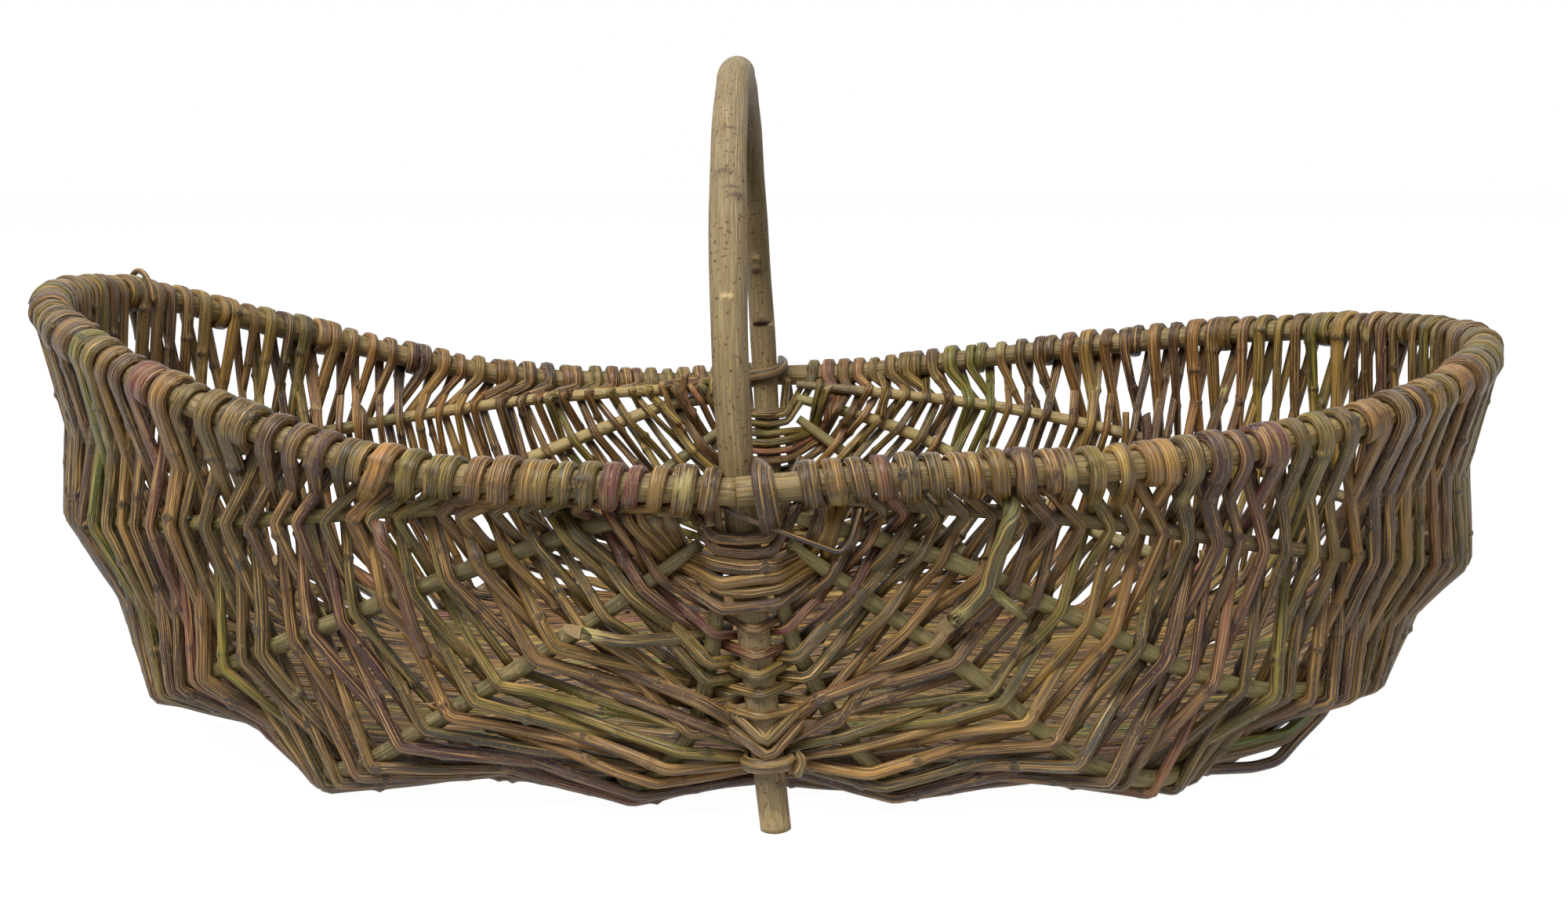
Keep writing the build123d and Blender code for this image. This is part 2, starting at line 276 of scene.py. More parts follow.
def cutWoodMaterial(name, code):
    # Sawn or snipped willow end: matt pale wood with darker specks, a grain of about a millimetre
    material, tree, shader = newMaterial(name)
    coords = addNode(tree, "ShaderNodeTexCoord").outputs["Object"]
    noise = addNode(tree, "ShaderNodeTexNoise", {"Vector": coords, "Scale": 0.9 / mm, "Detail": 3.0})
    grain = noise.outputs["Fac"]
    mix = addNode(tree, "ShaderNodeMix", {0: grain, 6: rgba(code), 7: rgba("#8d7250")}, data_type="RGBA")
    tree.links.new(mix.outputs[2], shader.inputs["Base Color"])
    bump = addNode(tree, "ShaderNodeBump", {"Height": grain, "Strength": 0.4, "Distance": 0.3 * mm})
    tree.links.new(bump.outputs[0], shader.inputs["Normal"])
    shader.inputs["Roughness"].default_value = 0.85
    return material


# Dried willow bark on the weavers: smooth, half matt, with a silky light along the rod; its pale fine lines
# are bark fibres and also painted highlights
weaverBark = barkMaterial("driedWillowBark", {
    "lineWidth": 0.9, "lineLength": 34.0, "lineFrom": 0.43, "lineFade": 0.16, "lineDark": 0.78,
    "fineFrom": 0.51, "lineLight": 0.7, "lineColour": "#dbac68",
    "bandWidth": 2.6, "slowAmount": 0.42, "slowColour": "#3c2a20",
    "blotchAmount": 0.32, "blotchColour": "#44241a",
    "poreSize": 1.5, "poreAmount": 0.25, "poreColour": "#b59a66", "poreFrom": 0.7,
    "markAmount": 0.8, "markColour": "#2a1a14", "scrapeColour": "#c0b070", "bump": 0.9, "roughness": 0.38})

# Thicker bark on the ribs and rim: duller, olive to brown
ribBark = barkMaterial("oliveWillowBark", {
    "lineWidth": 1.0, "lineLength": 30.0, "lineFrom": 0.42, "lineFade": 0.2, "lineDark": 0.5,
    "fineFrom": 0.5, "lineLight": 0.4, "lineColour": "#b3a878",
    "bandWidth": 4.0, "slowAmount": 0.3, "slowColour": "#6a5832",
    "blotchAmount": 0.3, "blotchColour": "#4c3a28",
    "poreSize": 1.8, "poreAmount": 0.4, "poreColour": "#b8a470", "poreFrom": 0.7,
    "markAmount": 0.6, "markColour": "#33241a", "scrapeColour": "#c0a56c", "bump": 0.5, "roughness": 0.58})

# The bow's bark: pale grey-tan, matt, dotted with small brown pores
bowBark = barkMaterial("paleWillowBark", {
    "lineWidth": 0.7, "lineLength": 22.0, "lineFrom": 0.4, "lineFade": 0.2, "lineDark": 0.3,
    "fineFrom": 0.5, "lineLight": 0.3, "lineColour": "#c9b592",
    "bandWidth": 7.0, "slowAmount": 0.35, "slowColour": "#9a8a6c",
    "blotchAmount": 0.25, "blotchColour": "#86653f",
    "poreSize": 1.6, "poreAmount": 0.9, "poreColour": "#5f3a20", "poreFrom": 0.7,
    "markAmount": 0.9, "markColour": "#4a3220", "scrapeColour": "#dcbf88", "bump": 0.7, "roughness": 0.6})
cutWood = cutWoodMaterial("snippedWillowWood", "#c3a878")
sawnWood = cutWoodMaterial("sawnWillowWood", "#cdb68a")
print("materials made")

# The frame's outlines, as in the part: millimetres from the basket's middle; -1 is left or front,
# 1 is right or back. Bends of a rib are shares of its reach, of the leg's y and of its drop
basket = {
    "halfLength": 290.0, "halfWidth": 175.0, "rimHeight": 122.7, "legY": 162.0,
    "rimX": {-1: -10.47, 1: -2.99}, "footX": 2.04,
    "rimPlan": [(0.14, 1.0), (0.46, 0.93), (0.79, 0.71), (1.0, 0.29)],
    "rise": {-1: 55.0, 1: 34.0},
    "riseShares": {(-1, -1): [0.03, 0.08, 0.61, 1.0], (-1, 1): [-0.07, 0.0, 0.52, 1.0],
                   (1, -1): [0.15, 0.17, 0.53, 1.0], (1, 1): [0.01, 0.38, 0.77, 1.0]},
    "reach": {-1: [283, 250, 180, 60], 1: [283, 250, 195, 60]},
    "height": {-1: [94.7, 22.7, 8.1, 8.1], 1: [73.7, 30.7, 8.1, 8.1]},
    "start": [119.7, 112.7, 102.7, 95.7], "offset": [15.05, 15.05, 15.05, 10.05],
    "ribs": {-1: [
        [(0.4, 0.955, 0.24), (0.7, 0.8, 0.62), (0.925, 0.49, 0.94), (1.0, 0.17, 1.0)],
        [(0.14, 0.995, 0.02), (0.4, 0.95, 0.27), (0.64, 0.87, 0.53), (0.9, 0.64, 0.86), (1.0, 0.22, 1.0)],
        [(0.2, 0.995, 0.25), (0.49, 0.95, 0.57), (0.77, 0.9, 0.88), (0.92, 0.76, 1.0), (1.0, 0.38, 1.0)],
        [(0.01, 0.995, 0.25), (0.18, 0.97, 0.7), (0.66, 0.935, 0.98), (0.96, 0.7, 1.0), (1.0, 0.2, 1.0)],
    ], 1: [
        [(0.4, 0.955, 0.24), (0.7, 0.8, 0.62), (0.925, 0.49, 0.94), (1.0, 0.17, 1.0)],
        [(0.23, 0.99, 0.19), (0.42, 0.95, 0.48), (0.66, 0.86, 0.86), (0.91, 0.6, 0.98), (1.0, 0.2, 1.0)],
        [(0.13, 0.995, 0.19), (0.34, 0.97, 0.5), (0.55, 0.94, 0.88), (0.71, 0.85, 1.0), (0.93, 0.52, 1.0),
         (1.0, 0.15, 1.0)],
        [(0.07, 0.995, 0.28), (0.4, 0.97, 0.72), (0.74, 0.93, 0.97), (0.96, 0.7, 1.0), (1.0, 0.2, 1.0)],
    ]},
    "bow": [(-1.0, 0.32, 0.95), (-0.83, 0.76, 1.0), (-0.50, 0.96, 0.95), (-0.16, 1.0, 0.9),
            (0.16, 1.0, 0.87), (0.50, 0.96, 0.82), (0.83, 0.76, 0.7), (1.0, 0.32, 0.4)],
    "bowRise": 144.7, "lean": 13.6,
    "rimRadius": 5.0, "ribRadius": [2.8, 3.25, 3.25, 3.25], "legRadius": 5.8,
}
sideNames = {-1: "left", 1: "right"}
halfNames = {-1: "front", 1: "back"}
samples = 801  # points along half of a rim or rib
insidePoint = np.array([0, 0, 140.0])  # outward directions point away from it


def legX(height, way):
    # The leg's x, on the straight line from its foot to its crossing with the rim
    return basket["footX"] + (basket["rimX"][way] - basket["footX"]) * height / basket["rimHeight"]


def rimLine(side):
    # Half of the rim hoop, from the front crossing round one end to the back crossing
    b = basket
    halves = []
    for way in (-1, 1):
        crossing = (b["rimX"][way], way * b["halfWidth"], b["rimHeight"])
        shares = zip(b["rimPlan"], b["riseShares"][side, way])
        bends = [(side * x * b["halfLength"], way * y * b["halfWidth"], b["rimHeight"] + b["rise"][side] * z)
                 for (x, y), z in shares]
        halves.append([crossing] + bends)
    return bentLine(halves[0] + halves[1][::-1])


def ribLine(side, i):
    # One rib, from the front leg round one end to the back leg
    b = basket
    halves = []
    for way in (-1, 1):
        startX = legX(b["start"][i], way) + side * b["offset"][i]
        half = [(startX, way * b["legY"], b["start"][i])]
        for out, depth, drop in b["ribs"][side][i]:
            half.append((startX + (side * b["reach"][side][i] - startX) * out, way * b["legY"] * depth,
                         b["start"][i] + (b["height"][side][i] - b["start"][i]) * drop))
        halves.append(half)
    return bentLine(halves[0] + halves[1][::-1])


def halfOf(line, way):
    # The front or back half of a line, from its crossing to the middle of the end, in even steps
    run = runOf(line)
    middle = np.interp(0, line[:, 1], run)
    at = np.linspace(0, middle, samples) if way < 0 else np.linspace(run[-1], middle, samples)
    return pick(line, run, at)


def awayFrom(normal, points):
    # Turns each direction so that it points out of the basket
    return normal * np.sign((normal * (points - insidePoint)).sum(1, keepdims=True))


def quarterOf(side, way):
    # Supports 0 to 4 of a quarter, the rim and ribs 1 to 4, with their directions. Outward is the cross
    # product of a support's direction and the step to its neighbours, which leans towardsEnd for
    # rib 4 and is helped, where it is shorter than closeBy, by the step across the whole quarter
    closeBy, towardsEnd = 45, 25
    points = np.stack([halfOf(line, way) for line in supportLines[side]])
    along = unit(np.gradient(points, axis=1))
    outward = []
    for k in range(5):
        over = points[min(k + 1, 4)] - points[max(k - 1, 0)]
        if k == 4:
            over[:, 0] -= side * towardsEnd
        near = np.clip(1 - np.linalg.norm(over, axis=1, keepdims=True) / closeBy, 0, 1)
        outward.append(unit(awayFrom(np.cross(along[k], over + near * (points[4] - points[0])), points[k])))
    down = unit(points[1:4].mean(0) - points[0])
    down = unit(down - (down * along[0]).sum(1, keepdims=True) * along[0])
    return {"points": points, "along": along, "outward": np.stack(outward), "down": down,
            "out": awayFrom(np.cross(along[0], down), points[0]),
            "length": [runOf(line)[-1] for line in points]}


supportLines = {side: [rimLine(side)] + [ribLine(side, i) for i in range(4)] for side in (-1, 1)}
supportRadius = [basket["rimRadius"]] + basket["ribRadius"]
quarters = {(side, way): quarterOf(side, way) for side in (-1, 1) for way in (-1, 1)}
print("outlines worked out")


def onSupport(quarter, k, share, what="points"):
    # A value of support k at a share of its length
    at = np.clip(share, 0, 1) * (samples - 1)
    i = int(min(at, samples - 2))
    values = quarter[what][k] if quarter[what].ndim == 3 else quarter[what]
    return values[i] + (values[i + 1] - values[i]) * (at - i)


# The weave: rods that go over the rim, down in and out of the ribs and up to the rim again
weave = {
    "rows": 72,  # in each half of the basket, front or back
    "frontRows": 6,  # they all lie in front of the front leg, and inside the back one
    "ribFrom": {1: 0, 2: 2, 3: 2, 4: 6},  # first row that each rib takes
    # rows, and the heights at which they pass the leg
    "legRows": [0, 1, 2, 3, 4, 5, 6, 8, 10, 12, 14, 16, 18, 20],
    "legHeights": [105.0, 100.4, 95.6, 91.0, 86.6, 82.0, 74.0, 64.0, 56.6, 50.6, 43.0, 34.0, 28.6, 25.0],
    "legRound": 9.5, "legBow": 0.012,  # the first rows bend round the leg, over how far and how much
    # the rows after them pass inside the leg: how many, height and way in at the first and what
    # the last adds to them, and how much higher every second one lies
    "underRows": 15, "underHeight": (25.0, -15.0), "underIn": (0.5, 20.0), "underSecond": 1.5,
    "dropRows": 16, "drop": 5.0,  # rows that pass the leg lower than the rib beside it, and how much
    "asOne": 9.5,  # ribs nearer than this are passed on the same side
    "firstWrap": {-1: 4.5, 1: 13.0},  # from the leg's middle along the rim
    "wrapFrom": 215, "wrapTurn": 250,  # degrees round the rim
    "wrapReach": (2.0, 4.5),  # how far a wrap creeps along the rim
    "doubleTurns": (7, 10, 13, 17, 21, 26, 31), "doubleWidth": 2.9,  # wraps with a second turn
    "closeWraps": 9, "closeRoom": 0.82,  # the first wraps sit closer
    # radii at a rod's two ends, and the factors for its half and for each rod
    "thickest": 2.7, "thinnest": 1.85, "size": {-1: 0.98, 1: 0.9}, "sizeVaries": (0.88, 1.1),
    "thinFirst": 0.4,  # share of rods that start with the thin end
    # how much wider, thinner and squarer a rod gets where it wraps the rim
    "spread": 0.42, "pressed": 0.24, "square": 0.4,
    "ring": 0.07, "bud": 0.38,  # swelling at the nodes, as shares of the radius
    "elbow": 1.0, "turning": 4.0, "pressing": 2.0,  # over what length each sets in
    "stray": 1.8, "strayOver": 9.0,  # how far a rod wanders between two ribs, and over what length
    "lap": 2.4, "tails": (7, 15),  # a new rod starts beside the old one, and ends run past the rib
    "brightness": (0.55, 1.75), "hue": (0.93, 1.07), "secondShare": 0.45,  # of a rod's second colour
    "floorFrom": 54, "floorPaintedShade": 0.7,  # the rods of the floor are darkened by this factor: painted shade inside the basket
    "lengths": (560.0, 1150.0),
    "shortRows": 9, "shortShare": 0.35,  # the first rods are pieced sooner
    "shift": 1.1, "rowShift": 0.4,  # how far rods stray along a rib
    "scuffs": 9,  # places tried for a rubbed patch, kept where the rod wraps the rim
    "scuffLength": (1.5, 6), "scuffAmount": (0.4, 0.9), "slant": 1.2,  # of the cut ends
    "step": 2.4, "sides": 8,
    # share of each rib at which a row crosses it, for shares of the rim: rows crowd towards the
    # crossing on the lower ribs
    "rowShares": {1: ([0, 0.15, 0.3, 1], [0, 0.145, 0.3, 1]),
                  2: ([0, 0.15, 0.3, 0.45, 0.55, 1], [0, 0.125, 0.29, 0.46, 0.58, 1]),
                  3: ([0, 0.15, 0.3, 0.42, 0.5, 1], [0, 0.1, 0.28, 0.44, 0.545, 1]),
                  4: ([0, 0.23, 0.3, 0.45, 1], [0, 0.186, 0.265, 0.445, 1])},
    # colours of the dried bark, and how many rods in a hundred have each
    "colours": [("#7e5522", 14), ("#906a33", 11), ("#573817", 14), ("#6e601d", 15), ("#857a2b", 8),
                ("#5e3030", 15), ("#7c443c", 8), ("#3c2a16", 7), ("#a88641", 5), ("#788a22", 3)],
}


def wrapSpacing():
    # Where each wrap sits along the rim, as shares: double turns take half as much room again
    pairs = weave["rows"] // 2
    room = np.where(np.isin(np.arange(pairs + 1), weave["doubleTurns"]), 1.5, 1.0)
    room *= random.uniform(0.88, 1.12, len(room))
    room[:weave["closeWraps"]] *= weave["closeRoom"]
    edges = np.r_[0, np.cumsum(room)]
    return (edges[1:] + edges[:-1]) / 2 / edges[-2]


def legStations(row, way, legSide):
    # Where a row passes the leg: round its front, in and out, or inside it near the ground
    w = weave
    down = np.array([0, 0, -1.0])
    legWay = np.array([0, way, 0.0])
    past = row - w["legRows"][-1]
    if past < 0:
        z = np.interp(row, w["legRows"], w["legHeights"])
        beside = [-w["legRound"], 0, w["legRound"]] if row < w["frontRows"] else [0]
        places = [(legX(z, way) + x, way * basket["legY"], z + w["legBow"] * x * x) for x in beside]
    elif past < w["underRows"]:
        low = past / w["underRows"]
        z = w["underHeight"][0] + w["underHeight"][1] * low + (w["underSecond"] if row % 2 else 0)
        y = basket["legY"] - w["underIn"][0] - w["underIn"][1] * low
        legSide = -1
        places = [(legX(z, way), way * y, z)]
    else:
        places = []
    return [(np.array(place), legWay, legSide, basket["legRadius"], down) for place in places]


def rowStations(row, way, jitter):
    # The places of one row from left rib 1 to right rib 1: support point, outward direction, side
    # of the support (1 outside, -1 inside), support radius and the support's own direction
    w = weave
    atLeg = row < w["legRows"][-1]
    share = (row + 0.7) / w["rows"]
    legSide = -way if row < w["frontRows"] else 1 if row % 2 == 0 else -1
    sides = {}
    for side in (-1, 1):
        quarter = quarters[side, way]
        sides[side] = []
        sign = legSide if atLeg else legSide * side
        previous = None
        for k in (4, 3, 2, 1):
            if row < w["ribFrom"][k]:
                continue
            s = np.interp(share, *w["rowShares"][k])
            if k == 4 and row < w["dropRows"]:
                first = quarter["points"][4][:samples // 3, 2]
                high = np.interp(row, w["legRows"], w["legHeights"]) + w["drop"] * (1 - row / w["dropRows"])
                s = np.interp(-high, -first, np.arange(len(first)) / (samples - 1))
            s += jitter[side][k] / quarter["length"][k]
            point = onSupport(quarter, k, s)
            if previous is None or np.linalg.norm(point - previous) > w["asOne"]:
                sign = -sign
            sides[side].append((point, onSupport(quarter, k, s, "outward"), sign, supportRadius[k],
                                onSupport(quarter, k, s, "along")))
            previous = point
    return sides[-1][::-1] + legStations(row, way, legSide) + sides[1]


def rimWrap(side, way, share, inward, double, reach):
    # Points round the rim: radial direction turns from the inner face over the top to the
    # outer face, or back, creeping along the rim as it goes
    quarter = quarters[side, way]
    turn = weave["wrapTurn"] + (360 if double else 0)
    angles = np.radians(np.linspace(weave["wrapFrom"], weave["wrapFrom"] - turn, 16 if double else 7))
    creep = np.linspace(-1, 1, len(angles)) * (reach / 2 + (weave["doubleWidth"] if double else 0))
    stations = []
    for angle, shift in zip(angles, creep):
        s = share + shift / quarter["length"][0]
        out, down = onSupport(quarter, 0, s, "out"), onSupport(quarter, 0, s, "down")
        radial = out * math.cos(angle) - down * math.sin(angle)
        stations.append((onSupport(quarter, 0, s), radial, 1, basket["rimRadius"] + 0.25,
                         onSupport(quarter, 0, s, "along")))
    return stations if inward else stations[::-1]


def halfStations(way):
    # Every station of one half in weaving order, to and fro between the two sides of the rim; each
    # gets the facing of the rod's flat side, 1 where it wraps the rim or else 0, and its row
    w = weave
    places = {side: wrapSpacing() for side in (-1, 1)}
    out = []
    facing = 1.0
    for row in range(w["rows"]):
        jitter = {side: random.normal(0, w["shift"], 5) + random.normal(0, w["rowShift"]) for side in (-1, 1)}
        stations = rowStations(row, way, jitter)
        if row % 2 == 0:
            stations = stations[::-1]
        out += [(*station, facing, 0.0, row) for station in stations]
        if row == w["rows"] - 1:
            break
        side = -1 if row % 2 == 0 else 1
        pair = row // 2 if side < 0 else (row + 1) // 2
        first = w["firstWrap"][side] / quarters[side, way]["length"][0]
        share = first + (1 - first) * places[side][pair]
        fromOutside = stations[-1][2] > 0
        reach = random.uniform(*w["wrapReach"])
        wrap = rimWrap(side, way, share, fromOutside, pair in w["doubleTurns"], reach)
        out += [(*station, -facing if fromOutside else facing, 1.0, row) for station in wrap]
        facing = -facing
    return out


def nodesAlong(length):
    # Places of a rod's nodes, 20 to 46 mm apart
    gaps = random.uniform(20, 46, int(length / 18) + 2)
    places = np.cumsum(gaps) - gaps[0] * random.uniform(0, 1)
    return places[(places > 3) & (places < length - 3)]


def ringsAlong(length, step, places):
    # Where a rod's rings of points sit: in even steps, and at and beside each node
    return np.unique(np.r_[np.linspace(0, length, int(length / step)), places, places - 1.4, places + 1.4])


def bumpsAt(run, places, sides, ring, bud, spin, width=1.5):
    # Swelling of a rod at distance d from a node: the ring all round, and the bud on the side that
    # spin faces, times exp(-(d / width) squared); the dark mark is a little narrower
    swell = np.ones((len(run), sides))
    mark = np.zeros((len(run), sides))
    angle = np.arange(sides) / sides * 2 * math.pi
    kinds = zip(places, spin, np.broadcast_to(bud, len(places)), np.broadcast_to(width, len(places)))
    ringMark = min(0.45, 9 * ring)
    for place, budAngle, rise, wide in kinds:
        near = np.exp(-((run - place) / wide) ** 2)[:, None]
        beside = np.clip(np.cos(angle - budAngle), 0, 1)[None] ** (sides / 2.7)
        swell += near * (ring + rise * beside)
        dark = np.exp(-((run - place) / (0.73 * wide)) ** 2)[:, None]
        mark = np.maximum(mark, dark * (ringMark + (1 - ringMark) * beside))
    return swell, mark


def weaverRod(stations, before, after, colours, radii, strayFrom, shift):
    # One weaver through its stations: straight between them, turned softly at each, with the
    # stray of a hand-laid rod, then drawn as a tapering rod
    w = weave
    columns = [np.array(column, float) for column in zip(*stations)]
    points, normals, signs, gaps, along, facing, flat = columns[:7]
    coarse = runOf(points)
    radius = np.interp(coarse, [0, coarse[-1]], radii)
    centres = points + (signs * (gaps + radius * (1 - w["pressed"] * flat)))[:, None] * normals
    centres[:2] += along[:2] * strayFrom
    tails = []
    for end, inner, beyond in ((0, 1, before), (-1, -2, after)):
        aim = centres[end] - centres[inner]
        if beyond is not None:
            aim = beyond[0] + signs[end] * (beyond[3] + radii[0] + 1) * beyond[1] - centres[end]
        tails.append(centres[end] + unit(aim) * random.uniform(*w["tails"]))
    centres = np.concatenate([[tails[0]], centres, [tails[1]]])
    up = normals * facing[:, None]
    up = np.concatenate([up[:1], up, up[-1:]])
    flat = np.r_[flat[0], flat, flat[-1]]
    run = runOf(centres)
    at = np.arange(0, run[-1], 1.0)
    line = soften(pick(centres, run, at), w["elbow"])
    up = soften(pick(up, run, at), w["turning"])
    flat = soften(pick(flat, run, at), w["pressing"])
    line += soften(random.normal(0, 1, (len(at), 3)), w["strayOver"]) * w["stray"] * (1 - flat)[:, None]
    run = runOf(line)
    places = nodesAlong(run[-1])
    rings = ringsAlong(run[-1], w["step"], places)
    line, up, flat = pick(line, run, rings), pick(up, run, rings), pick(flat, run, rings)
    # its thickness wavers over 232 mm, its two colours blend over 597 mm and its shade over 258 mm
    radius = np.interp(rings, [0, rings[-1]], radii) * (1 + 0.04 * np.sin(rings / 37 + shift))
    spin = np.arange(len(places)) * 2.6 + shift
    swell, mark = bumpsAt(rings, places, w["sides"], w["ring"], w["bud"], spin)
    wide, thick = radius * (1 + w["spread"] * flat), radius * (1 - w["pressed"] * flat)
    line[:, 2] = np.maximum(line[:, 2], radius * swell.max(1) + 0.1)  # it stays above the ground
    blend = (0.5 + 0.5 * np.sin(rings / 95 + shift))[:, None]
    shade = 1 + 0.14 * np.sin(rings / 41 + 2 * shift)[:, None]
    tone = (colours[0] * blend + colours[1] * (1 - blend)) * shade
    # bark cracks where the rod bends, and is rubbed on the outside of the wraps
    bend = np.abs(soften(np.linalg.norm(np.gradient(unit(np.gradient(line, axis=0)), axis=0), axis=1), 1.0))
    cracked = np.clip((bend - 0.12) * 1.4, 0, 0.4) * random.uniform(0.2, 1.0)
    scrape = cracked[:, None]
    facesOut = np.abs(np.sin(np.arange(w["sides"]) / w["sides"] * 2 * math.pi))[None]
    for place in tones.uniform(0, rings[-1], w["scuffs"]):
        scuff = np.exp(-((rings - place) / tones.uniform(*w["scuffLength"])) ** 2) * np.clip(flat * 2, 0, 1)
        scrape = np.maximum(scrape, tones.uniform(*w["scuffAmount"]) * scuff[:, None] * facesOut)
    slants = random.uniform(-w["slant"], w["slant"], 2)
    square = w["square"] * np.clip(flat, 0, 1)
    return rodParts(line, up, wide, thick, swell, tone, mark, scrape, slants, shift, square)


def weaversOf(way):
    # Cuts one half's stations into single weavers, whose ends all lie inside the basket
    w = weave
    stations = halfStations(way)
    run = runOf(np.array([station[0] for station in stations]))
    codes = [linear(code) for code, count in w["colours"]]
    shares = np.array([count for code, count in w["colours"]], float)
    rods = []
    first = 0
    while first < len(stations) - 3:
        row = stations[first][7]
        goal = run[first] + random.uniform(*w["lengths"]) * (w["shortShare"] if row < w["shortRows"] else 1)
        last = int(np.searchsorted(run, goal))
        while last < len(stations) - 1 and (stations[last][6] > 0 or stations[last][2] > 0):
            last += 1
        if len(stations) - last < 8:
            last = len(stations) - 1
        drawn = [codes[k] for k in tones.choice(len(codes), 2, p=shares / shares.sum())]
        second = (1 - w["secondShare"]) * drawn[0] + w["secondShare"] * drawn[1]
        tint = tones.uniform(*w["brightness"]) * tones.uniform(*w["hue"], 3)
        colours = np.array([drawn[0], second]) * tint
        # painted shade: the rods of the floor, inside the basket, are darkened
        if row > w["floorFrom"]:
            colours *= w["floorPaintedShade"]
        size = random.uniform(*w["sizeVaries"]) * w["size"][way]
        radii = (w["thickest"] * size, w["thinnest"] * size)
        if random.uniform() < w["thinFirst"]:
            radii = radii[::-1]
        before = stations[first - 1] if first else None
        after = stations[last + 1] if last + 1 < len(stations) else None
        rod = weaverRod(stations[first:last + 1], before, after, colours, radii, w["lap"] if first else 0,
                        random.uniform(0, 900))
        rods.append((row, rod))
        first = last
    return rods


# Lashings at the crossings and loops round the feet, and rods laid one by one
lashing = {
    "colour": "#a88c58", "step": 1.5, "sides": 12, "bend": 2.2,
    # the turn inside the leg, and how far its ends lie to the side, from the middle and up
    "height": 106.0, "turn": 8.8, "thick": (2.9, 1.9), "turnAngles": (-20, 200), "turnEnd": (10, 166, 16),
    "overColours": {-1: "#6d4f38", 1: "#7d6440"}, "overWide": {-1: 4.3, 1: 2.8}, "overThick": 1.7,
    # the turn over the rim beside the bow: along x from the crossing, out from the middle, and up
    "over": [(12, 174, 110), (11, 181.5, 116), (9.5, 183, 124), (8.5, 178.5, 130.6), (9, 171, 131),
             (9.2, 163, 129.5), (5.5, 154.5, 127), (0, 152.8, 126), (-6, 155, 125), (-9.4, 163, 123),
             (-10, 169, 117), (-9, 172, 110)],
    "footHeight": 24.6, "footTurn": 8.4, "footThick": (2.7, 1.8), "footAngles": (-20, 360), "footRise": 2.5,
    # the foot loop's tail: along x from the leg, out from the middle, and up from the loop
    "footTail": [(11, 164, 4), (12.5, 165, 0.5), (9.5, 166, -4)],
}


def boundRod(points, wide, thick, colour, shift, pale=0.0):
    # A weaver bent through a few points given one by one; a share pale of its first 11 mm is bare, cut wood
    s = lashing
    points = np.array(points, float)
    line = soften(everyMillimetre(points), s["bend"])
    run = runOf(line)
    rings = np.linspace(0, run[-1], max(4, int(run[-1] / s["step"])))
    line = pick(line, run, rings)
    up = np.array([0, 0, 1.0]) if pale else line - line.mean(0) + 0.01
    swell, mark = bumpsAt(rings, [], s["sides"], 0, 0, [])
    scrape = pale * np.exp(-(rings / 11) ** 4)[:, None]
    slants = (2.6 if pale > 0.5 else 0.4, -0.4)
    return rodParts(line, up, wide, thick, swell, colour, mark, scrape, slants, shift)


# Loose ends and odd rods seen on this basket: half, row, thickness, colour, share of pale wood, points
looseRods = [
    (-1, 1, 0.9, "#57504a", 0.0,
     [(-16, -172, 118), (-12, -175, 115.5), (5.4, -177.5, 109), (24.7, -176.5, 101.5), (27.5, -177, 105),
      (31, -180, 118)]),
    (-1, 12, 2.7, "#6a5c30", 0.9, [(-66, -166, 72.5), (-50.3, -168, 69.5), (-33, -162, 69), (-12, -155, 71)]),
    (-1, 14, 3.3, "#77783a", 0.7,
     [(62, -166, 74.5), (70, -168, 82), (75.5, -169, 89), (79, -172, 103), (82.5, -173, 114),
      (83, -168, 119)]),
    (-1, 14, 2.2, "#83823f", 0.7, [(84.5, -167, 80), (80, -168.5, 84), (75, -169, 89)]),
    (-1, 30, 2.6, "#5a4238", 0.0,
     [(138, -122, 10), (165, -114, 6), (182, -109, 5), (192, -106, 6.5), (200, -102, 14), (211, -97, 23),
      (219, -90, 32)]),
    (-1, 30, 2.4, "#6f8436", 0.0,
     [(144, -122, 11), (169, -116, 15), (195, -106, 17.5), (205, -101, 24.5), (212, -98, 33),
      (216, -93, 41)]),
    (-1, 30, 2.4, "#8a7048", 0.0,
     [(150, -122, 9), (175, -114, 12), (194, -106, 14.5), (203, -101, 20), (212, -97, 28.5), (219, -92, 38)]),
    (-1, 22, 2.6, "#7a4234", 0.3,
     [(-120, -159, 63), (-123, -164, 74), (-127, -168, 92), (-131, -171, 104), (-133, -166, 112)]),
    (1, 48, 1.5, "#8a6c3c", 0.0,
     [(-284.5, 57, 178), (-283.4, 56, 181.5), (-281.2, 55.5, 184.9), (-278.2, 54.6, 184.6),
      (-275.4, 53.2, 181), (-273, 51.2, 175.5), (-272.2, 50.4, 170)]),
]

# Pieces of the weave: name, first row, the row after the last, and the nodes that they replace
weavePieces = [("crossing", 0, 18, ["left_leg_weave", "right_leg_weave", "left_weave_4", "right_weave_4"]),
               ("belly", 18, 36, ["left_weave_3", "right_weave_3", "left_weave_2", "right_weave_2"]),
               ("end", 36, 54, ["left_weave_1", "right_weave_1", "left_rim_wrap", "right_rim_wrap"]),
               ("middle", 54, 99, ["floor_weave"])]
for way, half in halfNames.items():
    rods = weaversOf(way)
    for at, row, thick, code, pale, points in looseRods:
        if at == way:
            rods.append((row, boundRod(points, thick, thick * 0.85, linear(code), 7.0 * row, pale)))
    for part, low, high, nodes in weavePieces:
        chosen = [rod for row, rod in rods if low <= row < high]
        makePiece(f"{half}_{part}_weavers", chosen, [weaverBark, cutWood],
                  [f"{half}_{node}" for node in nodes])

